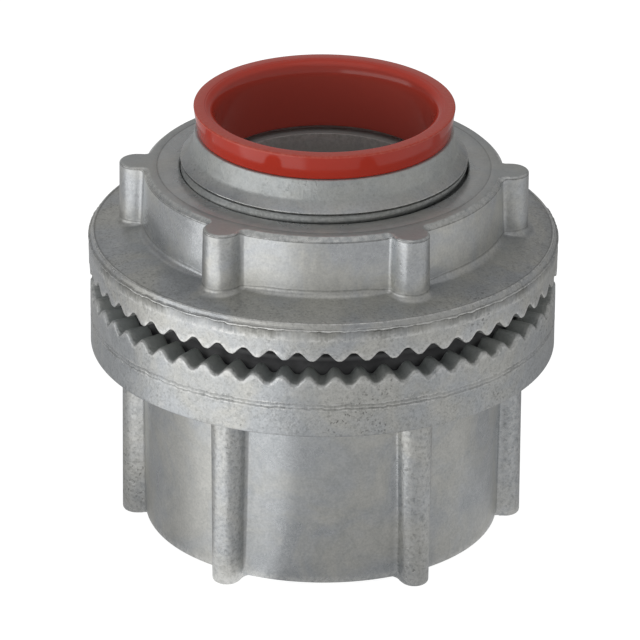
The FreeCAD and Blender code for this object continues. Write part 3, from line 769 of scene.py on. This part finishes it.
def make_sealing_ring():
    """Rubber cord, a little flat underneath, with a fine flash line round its outside."""
    angles = even_angles(SEAL_COLUMNS)
    outer = RING_HIGH.x
    centre = outer - SEAL_CORD_RADIUS
    middle = RING_HIGH.z - SEAL_CORD_RADIUS
    rows = []
    for number in range(SEAL_SECTION_STEPS + 1):
        step = number % SEAL_SECTION_STEPS
        turn = math.tau * step / SEAL_SECTION_STEPS
        # The flash line is marked so that its material paints it lighter: a painted highlight high on
        # the cord's outside.
        flash = SEAL_FLASH if step == SEAL_FLASH_STEP else 0.0
        radius = centre + (SEAL_CORD_RADIUS + flash) * math.cos(turn)
        height = max(middle + (SEAL_CORD_RADIUS + flash) * math.sin(turn), RING_LOW.z)
        rows.append(ring(angles, min(radius, outer), min(height, RING_HIGH.z),
                         worn=1.0 if flash else 0.0))
    return spin_piece("seal_cord", (rows,))


# Colours, as shares of red, green and blue light.
BODY_LIGHT = (0.64, 0.64, 0.635, 1.0)
BODY_DARK = (0.44, 0.45, 0.45, 1.0)
NUT_LIGHT = (0.67, 0.67, 0.66, 1.0)
NUT_DARK = (0.47, 0.475, 0.475, 1.0)
ZINC_COOL_TINT = (0.965, 0.99, 1.02, 1.0)
ZINC_WARM_TINT = (1.01, 1.005, 0.965, 1.0)
ZINC_PIT = (0.09, 0.09, 0.08, 1.0)
# Painted highlight, laid with wear on edges, burrs, flash ridges and thread crests.
ZINC_WEAR_HIGHLIGHT = (0.86, 0.86, 0.84, 1.0)
# Painted shade, laid with dirt in creases, fillets, grooves and thread roots.
GRIME_AND_SHADE = (0.07, 0.07, 0.06, 1.0)
ZINC_TURNED = (0.8, 0.8, 0.79, 1.0)
ZINC_OXIDE = (0.42, 0.45, 0.435, 1.0)
RED_DEEP = (0.53, 0.032, 0.012, 1.0)
RED_CLEAR = (0.57, 0.038, 0.017, 1.0)
# The insulator's top face painted lighter, as lit from above, with some scuffs.
RED_LIT_SCUFFED_TOP = (0.86, 0.09, 0.055, 1.0)
# The insulator's bore painted lighter and paler: painted light in its shade.
RED_BORE_PAINTED_LIGHT = (0.56, 0.1, 0.075, 1.0)
# A painted highlight with wear on the insulator's rim edge.
RED_EDGE_HIGHLIGHT = (0.85, 0.3, 0.22, 1.0)
RUBBER_CLEAN = (0.11, 0.11, 0.115, 1.0)
RUBBER_DUSTY = (0.2, 0.2, 0.205, 1.0)
# A painted highlight along the seal's flash line.
RUBBER_FLASH_HIGHLIGHT = (0.4, 0.4, 0.41, 1.0)

# How strong each casting's pits are, and how far they are shaken out of even cells, in metres.
BODY_PITS = 0.9
NUT_PITS = 0.7
PIT_SHAKE = 0.0007

# How fine the break-up of the painted edge highlights with wear and of the painted shade with dirt is,
# in features to the metre.
BREAK_UP_PER_METRE = 2000.0


# Materials are built from small helpers, so that each finish reads as its own recipe.
def fill(tree, node, inputs):
    """Set a node's inputs, or connect them where the value is another node's output."""
    for name, value in inputs.items():
        if isinstance(value, bpy.types.NodeSocket):
            tree.links.new(value, node.inputs[name])
        else:
            node.inputs[name].default_value = value


def add_node(tree, kind, inputs=None, **settings):
    """Add a node, set its properties, and set or connect its inputs."""
    made = tree.nodes.new(kind)
    for name, value in settings.items():
        setattr(made, name, value)
    fill(tree, made, inputs or {})
    return made


def combine(tree, operation, first, second):
    """A Math node's result."""
    made = add_node(tree, "ShaderNodeMath", {0: first, 1: second}, operation=operation)
    return made.outputs["Value"]


def times(tree, first, second):
    return combine(tree, "MULTIPLY", first, second)


def plus(tree, first, *others):
    for other in others:
        first = combine(tree, "ADD", first, other)
    return first


def blend(tree, amount, first, second, kind="RGBA"):
    """A colour part-way between two others, or a value if the kind is FLOAT."""
    inputs = {"Factor": amount, "A": first, "B": second}
    return add_node(tree, "ShaderNodeMix", inputs, data_type=kind).outputs["Result"]


def stretch(tree, value, low, high, to_low=0.0, to_high=1.0):
    """Map one range of values to another, clamped."""
    made = add_node(tree, "ShaderNodeMapRange", {
        "Value": value, "From Min": low, "From Max": high, "To Min": to_low, "To Max": to_high,
    })
    return made.outputs["Result"]


def surface_noise(tree, place, per_metre, detail=3.0, roughness=0.55, distortion=0.0):
    """Even noise with about this many features to the metre."""
    made = add_node(tree, "ShaderNodeTexNoise", {
        "Vector": place, "Scale": per_metre, "Detail": detail, "Roughness": roughness,
        "Distortion": distortion,
    })
    return made.outputs["Fac"]


def mark(tree, name):
    """A mark that the mesh carries, as a value from 0 to 1."""
    return add_node(tree, "ShaderNodeAttribute", attribute_name=name).outputs["Fac"]


def object_place(tree, squeeze=None):
    """Object coordinates, squeezed where a pattern is longer one way."""
    place = add_node(tree, "ShaderNodeTexCoord").outputs["Object"]
    if squeeze is None:
        return place
    return add_node(tree, "ShaderNodeMapping", {"Vector": place, "Scale": squeeze}).outputs["Vector"]


def new_group(name, inputs, outputs):
    """Start a shader node group: inputs with their defaults, and the outputs' names."""
    tree = bpy.data.node_groups.new(name, "ShaderNodeTree")
    for socket_name, value in inputs.items():
        kind = "NodeSocketColor" if isinstance(value, tuple) else "NodeSocketFloat"
        socket = tree.interface.new_socket(socket_name, in_out="INPUT", socket_type=kind)
        socket.default_value = value
    for socket_name in outputs:
        kind = "NodeSocketColor" if socket_name == "Color" else "NodeSocketFloat"
        tree.interface.new_socket(socket_name, in_out="OUTPUT", socket_type=kind)
    return tree, tree.nodes.new("NodeGroupInput"), tree.nodes.new("NodeGroupOutput")


def cast_skin_group():
    """The skin of a die-casting: cloudy grey in warm and cool patches, grain, dents and pits."""
    tree, given, result = new_group(
        "Cast Skin",
        {"Light": BODY_LIGHT, "Dark": BODY_DARK, "Pits": BODY_PITS},
        ("Color", "Roughness", "Height"),
    )
    place = object_place(tree)
    upright = object_place(tree, (1.0, 1.0, 0.04))
    peened = mark(tree, "peened")
    trimmed = mark(tree, "trimmed")
    clouds = surface_noise(tree, place, 110.0, 4.0, 0.6, 0.8)
    blotches = surface_noise(tree, place, 420.0, 4.0, 0.65, 1.2)
    grain = surface_noise(tree, place, 3600.0, 3.0, 0.7)
    dents = surface_noise(tree, place, 1150.0, 3.0, 0.55, 0.4)
    file_marks = surface_noise(tree, upright, 4200.0, 2.0, 0.6)
    shake = add_node(tree, "ShaderNodeTexNoise", {"Vector": place, "Scale": 2200.0}).outputs["Color"]
    shaken = add_node(tree, "ShaderNodeVectorMath", {0: shake, 1: (PIT_SHAKE,) * 3, 2: place},
                      operation="MULTIPLY_ADD").outputs["Vector"]
    cells = add_node(tree, "ShaderNodeTexVoronoi", {"Vector": shaken, "Scale": 1900.0})
    pit_zone = stretch(tree, surface_noise(tree, place, 120.0, 2.0), 0.53, 0.68)
    pit_share = stretch(tree, peened, 0.0, 0.7, 0.15, 1.0)
    pit = times(tree, stretch(tree, cells.outputs["Distance"], 0.16, 0.34, 1.0, 0.0), pit_zone)
    pit = times(tree, times(tree, pit, pit_share), given.outputs["Pits"])
    filed = times(tree, trimmed, stretch(tree, file_marks, 0.35, 0.62, 0.28, 0.0))
    speckle = surface_noise(tree, place, 2600.0, 4.0, 0.75, 0.6)
    flecks = times(tree, stretch(tree, speckle, 0.36, 0.5, 0.38, 0.0), peened)

    mix = plus(tree, times(tree, clouds, 0.3), times(tree, blotches, 0.3), times(tree, grain, 0.4))
    cloudy = stretch(tree, mix, 0.38, 0.62)
    colour = blend(tree, cloudy, given.outputs["Dark"], given.outputs["Light"])
    tint = blend(tree, stretch(tree, clouds, 0.42, 0.6), ZINC_COOL_TINT, ZINC_WARM_TINT)
    tinted = add_node(tree, "ShaderNodeMix", {"Factor": 1.0, "A": colour, "B": tint},
                      data_type="RGBA", blend_type="MULTIPLY")
    darker = combine(tree, "MAXIMUM", times(tree, pit, 0.65), filed)
    darker = combine(tree, "MAXIMUM", darker, flecks)
    rough = stretch(tree, clouds, 0.35, 0.65, 0.25, 0.36)
    height = plus(
        tree, times(tree, grain, stretch(tree, peened, 0.0, 1.0, 0.22, 1.0)),
        times(tree, dents, stretch(tree, peened, 0.0, 1.0, 0.3, 2.0)),
        times(tree, clouds, 2.0), times(tree, times(tree, file_marks, trimmed), 0.5),
    )
    fill(tree, result, {
        "Color": blend(tree, darker, tinted.outputs["Result"], ZINC_PIT),
        "Roughness": plus(tree, rough, times(tree, peened, 0.05), times(tree, pit, 0.3)),
        "Height": combine(tree, "SUBTRACT", height, times(tree, pit, 1.4)),
    })
    return tree


def edge_wear_and_light_group():
    """Painted highlights with wear on edges, and painted shade with dirt in creases, laid over a finish
    by the mesh's marks.
    """
    tree, given, result = new_group(
        "Edge Wear And Light",
        {"Color": BODY_LIGHT, "Roughness": 0.4, "Bright": ZINC_WEAR_HIGHLIGHT, "Grime_And_Shade": GRIME_AND_SHADE,
         "Break Up": BREAK_UP_PER_METRE},
        ("Color", "Roughness", "Metallic"),
    )
    place = object_place(tree)
    uneven = surface_noise(tree, place, given.outputs["Break Up"], 3.0, 0.6)
    worn = times(tree, mark(tree, "worn"), stretch(tree, uneven, 0.38, 0.6))
    grime = times(tree, mark(tree, "grime"), stretch(tree, uneven, 0.7, 0.35, 0.55, 1.0))
    colour = blend(tree, worn, given.outputs["Color"], given.outputs["Bright"])
    rough = combine(tree, "SUBTRACT", given.outputs["Roughness"], times(tree, worn, 0.12))
    fill(tree, result, {
        "Color": blend(tree, grime, colour, given.outputs["Grime_And_Shade"]),
        "Roughness": plus(tree, rough, times(tree, grime, 0.25)),
        "Metallic": stretch(tree, grime, 0.0, 1.0, 0.8, 0.55),
    })
    return tree


def new_material(name):
    material = bpy.data.materials.new(name)
    material.use_nodes = True
    return material, material.node_tree, material.node_tree.nodes["Principled BSDF"]


def bump(tree, height, depth_mm):
    """A Bump node's normal, its full height given in millimetres."""
    inputs = {"Height": height, "Distance": depth_mm * MM, "Strength": 1.0}
    return add_node(tree, "ShaderNodeBump", inputs).outputs["Normal"]


def cast_zinc(name, skin, wear_and_light, light, dark, pits):
    """Satin zinc casting with turned bands where the mesh is marked as turned."""
    material, tree, shader = new_material(name)
    base = add_node(tree, "ShaderNodeGroup", {"Light": light, "Dark": dark, "Pits": pits},
                    node_tree=skin)
    place = object_place(tree)
    apart = add_node(tree, "ShaderNodeSeparateXYZ", {"Vector": place})
    flat = add_node(tree, "ShaderNodeCombineXYZ", {"X": apart.outputs["X"], "Y": apart.outputs["Y"]})
    radius = add_node(tree, "ShaderNodeVectorMath", {0: flat.outputs["Vector"]}, operation="LENGTH")
    lines_at = add_node(tree, "ShaderNodeCombineXYZ", {
        "X": radius.outputs["Value"], "Y": apart.outputs["Z"],
    })
    lines = surface_noise(tree, lines_at.outputs["Vector"], 3200.0, 2.0, 0.6)
    broken = surface_noise(tree, place, 800.0, 3.0, 0.6)
    turned = times(tree, mark(tree, "turned"), stretch(tree, broken, 0.4, 0.6, 0.25, 1.0))
    lined = times(tree, times(tree, lines, turned), 0.5)
    height = plus(tree, base.outputs["Height"], lined)
    freshened = blend(tree, times(tree, turned, 0.3), base.outputs["Color"], ZINC_TURNED)
    oxidised = blend(tree, times(tree, mark(tree, "dull"), 0.7), freshened, ZINC_OXIDE)
    # Painted highlights with wear on marked edges, and painted shade with dirt in marked creases.
    worn = add_node(tree, "ShaderNodeGroup", {
        "Color": oxidised, "Roughness": base.outputs["Roughness"],
    }, node_tree=wear_and_light)
    oxide = times(tree, mark(tree, "dull"), 0.5)
    smoother = times(tree, mark(tree, "turned"), 0.08)
    rough = combine(tree, "SUBTRACT", worn.outputs["Roughness"], smoother)
    fill(tree, shader, {
        "Base Color": worn.outputs["Color"],
        "Metallic": combine(tree, "SUBTRACT", worn.outputs["Metallic"], oxide),
        "Roughness": plus(tree, rough, times(tree, oxide, 0.4)),
        "Normal": bump(tree, height, 0.03),
    })
    return material


def red_plastic():
    """Smooth moulded red plastic, slightly waxy, with faint mould marks; a painted highlight with wear
    on the rim's edge, the top face painted lighter as lit from above with some scuffs, and the bore
    painted lighter as painted light in its shade.
    """
    material, tree, shader = new_material("red moulded plastic")
    place = object_place(tree)
    clouds = surface_noise(tree, place, 160.0, 3.0, 0.5)
    fine = surface_noise(tree, place, 2200.0, 3.0, 0.6)
    colour = blend(tree, stretch(tree, clouds, 0.3, 0.7), RED_DEEP, RED_CLEAR)
    # Painted highlight with wear along the rim's edge.
    rubbed_highlight = times(tree, mark(tree, "worn"), stretch(tree, fine, 0.25, 0.75))
    # Painted light: the top face lighter as lit from above, with some scuffs, and the shaded bore
    # lighter and paler.
    colour = blend(tree, times(tree, mark(tree, "turned"), 0.5), colour, RED_LIT_SCUFFED_TOP)
    colour = blend(tree, times(tree, mark(tree, "grime"), 0.8), colour, RED_BORE_PAINTED_LIGHT)
    height = plus(tree, times(tree, clouds, 0.35), times(tree, fine, 0.005))
    fill(tree, shader, {
        "Base Color": blend(tree, times(tree, rubbed_highlight, 0.35), colour, RED_EDGE_HIGHLIGHT),
        "Roughness": stretch(tree, clouds, 0.3, 0.7, 0.09, 0.12),
        "Normal": bump(tree, height, 0.03),
        "IOR": 1.5,
    })
    return material


def black_rubber():
    """Dull black rubber with a dusty bloom, and a flash line painted lighter: a painted highlight."""
    material, tree, shader = new_material("black rubber")
    place = object_place(tree)
    dust = surface_noise(tree, place, 300.0, 4.0, 0.6)
    fine = surface_noise(tree, place, 2400.0, 3.0, 0.6)
    colour = blend(tree, stretch(tree, dust, 0.4, 0.7), RUBBER_CLEAN, RUBBER_DUSTY)
    fill(tree, shader, {
        # Painted highlight along the flash line.
        "Base Color": blend(tree, times(tree, mark(tree, "worn"), 0.8), colour, RUBBER_FLASH_HIGHLIGHT),
        "Roughness": stretch(tree, fine, 0.35, 0.65, 0.38, 0.55),
        "Normal": bump(tree, fine, 0.02),
    })
    return material


def dress(piece, material, node, body):
    """Give a piece its finish and let it stand for its CAD node."""
    piece.data.materials.append(material)
    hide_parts(node)
    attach(piece, body)


# Studio: a pale floor, a grey surround and one softbox. Lengths are in millimetres.
FLOOR_HALF_SIDE = 3000
FLOOR_GLOW = 0.9
CAMERA_DISTANCE = 929.3
CAMERA_LENS = 449.2
CAMERA_SENSOR = 36.0
CAMERA_ELEVATION = math.radians(24.66)
CAMERA_ROLL = math.radians(0.504)
CAMERA_AIM = Vector((-0.304, 0.0, 24.5))
SOFTBOX_TURN = math.radians(-20)
SOFTBOX_RISE = math.radians(70)
SOFTBOX_DISTANCE = 1600
SOFTBOX_SIDE = 1500
SOFTBOX_POWER = 1.4
SOFTBOX_AIM = Vector((0, 0, 30))

# What the metal mirrors from the floor: levels of light at angles from the camera's side, in degrees,
# and the bright card's right edge in radians and back edge in metres.
TABLE_LIGHT = (
    (-180, 0.46), (-160, 0.44), (-140, 0.4), (-120, 0.38), (-100, 0.43), (-80, 0.52), (0, 0.53),
    (30, 0.52), (60, 0.56), (80, 0.55), (100, 0.4), (120, 0.33), (140, 0.26), (160, 0.36), (179, 0.46),
)
CARD_LIGHT = 1.25
CARD_RIGHT_EDGE = (-0.35, -0.24)
CARD_BACK_EDGE = (0.011, 0.018)

# Beside the hub the table's glow is dimmer, a painted shadow of the hub: how far out, in metres, and
# how dim at two bearings in radians.
NEAR_REACH = (0.028, 0.075)
NEAR_BEARING = (0.5, 1.2)
NEAR_LEVEL = (0.68, 0.92)

# The card's upright part: its left edge in radians, and its top as the sine of its elevation.
CARD_LEFT_EDGE = (-1.75, -1.6)
CARD_TOP = (0.28, 0.42)

# The surround's light at angles round the hub, in degrees from the camera's side, left below zero.
OVERHEAD_LIGHT = 0.36
OVERHEAD_EDGE = (0.45, 0.9)
SURROUND_LIGHT = (
    (-180, 0.39), (-160, 0.36), (-130, 0.2), (-108, 0.2), (-85, 0.34),
    (90, 0.37), (120, 0.3), (150, 0.18), (168, 0.22), (179, 0.39),
)


def place_camera():
    """A long lens in front of the hub and above it, as the photograph was taken."""
    data = bpy.data.cameras.new("photo_camera")
    data.lens = CAMERA_LENS
    data.sensor_width = CAMERA_SENSOR
    camera = bpy.data.objects.new("photo_camera", data)
    away = Vector((0.0, -math.cos(CAMERA_ELEVATION), math.sin(CAMERA_ELEVATION)))
    tilt = Euler((math.pi / 2 - CAMERA_ELEVATION, 0, 0)).to_matrix().to_4x4()
    aim = Matrix.Translation((CAMERA_AIM + away * CAMERA_DISTANCE) * MM)
    camera.matrix_world = aim @ tilt @ Matrix.Rotation(CAMERA_ROLL, 4, "Z")
    bpy.context.scene.collection.objects.link(camera)
    bpy.context.scene.camera = camera


def grey(level):
    return (level, level, level, 1.0)


def light_round(tree, bearing, levels):
    """A level of light that changes with the bearing, from a list of (degrees, level)."""
    around = stretch(tree, bearing, -math.pi, math.pi)
    ramp = add_node(tree, "ShaderNodeValToRGB", {"Fac": around})
    ramp.color_ramp.interpolation = "EASE"
    stops = ramp.color_ramp.elements
    # A new ramp has a stop at each end. Neither is wanted, but a ramp can't be left empty.
    stops.remove(stops[0])
    for degrees, level in levels:
        stops.new((degrees + 180) / 360).color = grey(level)
    stops.remove(stops[-1])
    return ramp.outputs["Color"]


def floor_material():
    """Pale floor that stays white to the eye; the metal mirrors a grey table with a bright card."""
    material, tree, shader = new_material("pale floor")
    seen = add_node(tree, "ShaderNodeLightPath").outputs["Is Camera Ray"]
    place = object_place(tree)
    apart = add_node(tree, "ShaderNodeSeparateXYZ", {"Vector": place})
    away = add_node(tree, "ShaderNodeVectorMath", {0: place}, operation="LENGTH").outputs["Value"]
    ahead = times(tree, apart.outputs["Y"], -1.0)
    bearing = combine(tree, "ARCTAN2", apart.outputs["X"], ahead)
    beside = stretch(tree, bearing, *CARD_RIGHT_EDGE, 1.0, 0.0)
    before = stretch(tree, ahead, *CARD_BACK_EDGE)
    card = times(tree, beside, before)
    table = light_round(tree, bearing, TABLE_LIGHT)
    level = blend(tree, card, table, CARD_LIGHT, "FLOAT")
    # Painted shadow: the table's glow is dimmer close beside the hub.
    near = stretch(tree, bearing, *NEAR_BEARING, *NEAR_LEVEL)
    level = times(tree, level, stretch(tree, away, *NEAR_REACH, near, 1.0))
    fill(tree, shader, {
        "Emission Strength": blend(tree, seen, level, FLOOR_GLOW, "FLOAT"),
        "Emission Color": grey(1.0),
        "Base Color": blend(tree, seen, grey(0.05), grey(0.5)),
        "Roughness": 1.0,
        "Specular IOR Level": 0.0,
    })
    return material


def lay_floor():
    bm = bmesh.new()
    bmesh.ops.create_grid(bm, x_segments=1, y_segments=1, size=FLOOR_HALF_SIDE * MM)
    mesh = bpy.data.meshes.new("floor")
    bm.to_mesh(mesh)
    bm.free()
    floor = bpy.data.objects.new("floor", mesh)
    mesh.materials.append(floor_material())
    bpy.context.scene.collection.objects.link(floor)


def hang_softbox():
    """One soft light above the hub and a little to the left, facing it."""
    data = bpy.data.lights.new("overhead_softbox", "AREA")
    data.size = SOFTBOX_SIDE * MM
    data.energy = SOFTBOX_POWER
    light = bpy.data.objects.new("overhead_softbox", data)
    along = math.cos(SOFTBOX_RISE)
    out = Vector((
        math.sin(SOFTBOX_TURN) * along, -math.cos(SOFTBOX_TURN) * along, math.sin(SOFTBOX_RISE),
    ))
    light.location = (SOFTBOX_AIM + out * SOFTBOX_DISTANCE) * MM
    light.rotation_euler = out.to_track_quat("Z", "Y").to_euler()
    light.visible_camera = False
    bpy.context.scene.collection.objects.link(light)


def light_surround():
    """Grey surround with soft lighter and darker stretches, even overhead."""
    world = bpy.data.worlds.new("studio")
    bpy.context.scene.world = world
    world.use_nodes = True
    tree = world.node_tree
    direction = add_node(tree, "ShaderNodeTexCoord").outputs["Generated"]
    apart = add_node(tree, "ShaderNodeSeparateXYZ", {"Vector": direction})
    ahead = times(tree, apart.outputs["Y"], -1.0)
    bearing = combine(tree, "ARCTAN2", apart.outputs["X"], ahead)
    above = stretch(tree, apart.outputs["Z"], *OVERHEAD_EDGE)
    level = blend(tree, above, light_round(tree, bearing, SURROUND_LIGHT), grey(OVERHEAD_LIGHT))
    beside = stretch(tree, bearing, *CARD_RIGHT_EDGE, 1.0, 0.0)
    card = times(tree, beside, stretch(tree, bearing, *CARD_LEFT_EDGE))
    card = times(tree, card, stretch(tree, apart.outputs["Z"], *CARD_TOP, 1.0, 0.0))
    level = blend(tree, card, level, grey(CARD_LIGHT))
    fill(tree, tree.nodes["Background"], {"Color": level, "Strength": 1.0})


def set_studio():
    place_camera()
    lay_floor()
    light_surround()
    hang_softbox()
    bpy.context.scene.view_settings.view_transform = "Standard"


skin = cast_skin_group()
wear_and_light = edge_wear_and_light_group()
body_zinc = cast_zinc("body zinc", skin, wear_and_light, BODY_LIGHT, BODY_DARK, BODY_PITS)
nut_zinc = cast_zinc("nut zinc", skin, wear_and_light, NUT_LIGHT, NUT_DARK, NUT_PITS)
dress(make_hub_body(), body_zinc, "hub_body", "hub")
dress(make_locking_nut(), nut_zinc, "locking_nut", "nut")
dress(make_throat_insulator(), red_plastic(), "throat_insulator", "hub")
dress(make_sealing_ring(), black_rubber(), "sealing_ring", "hub")
set_studio()
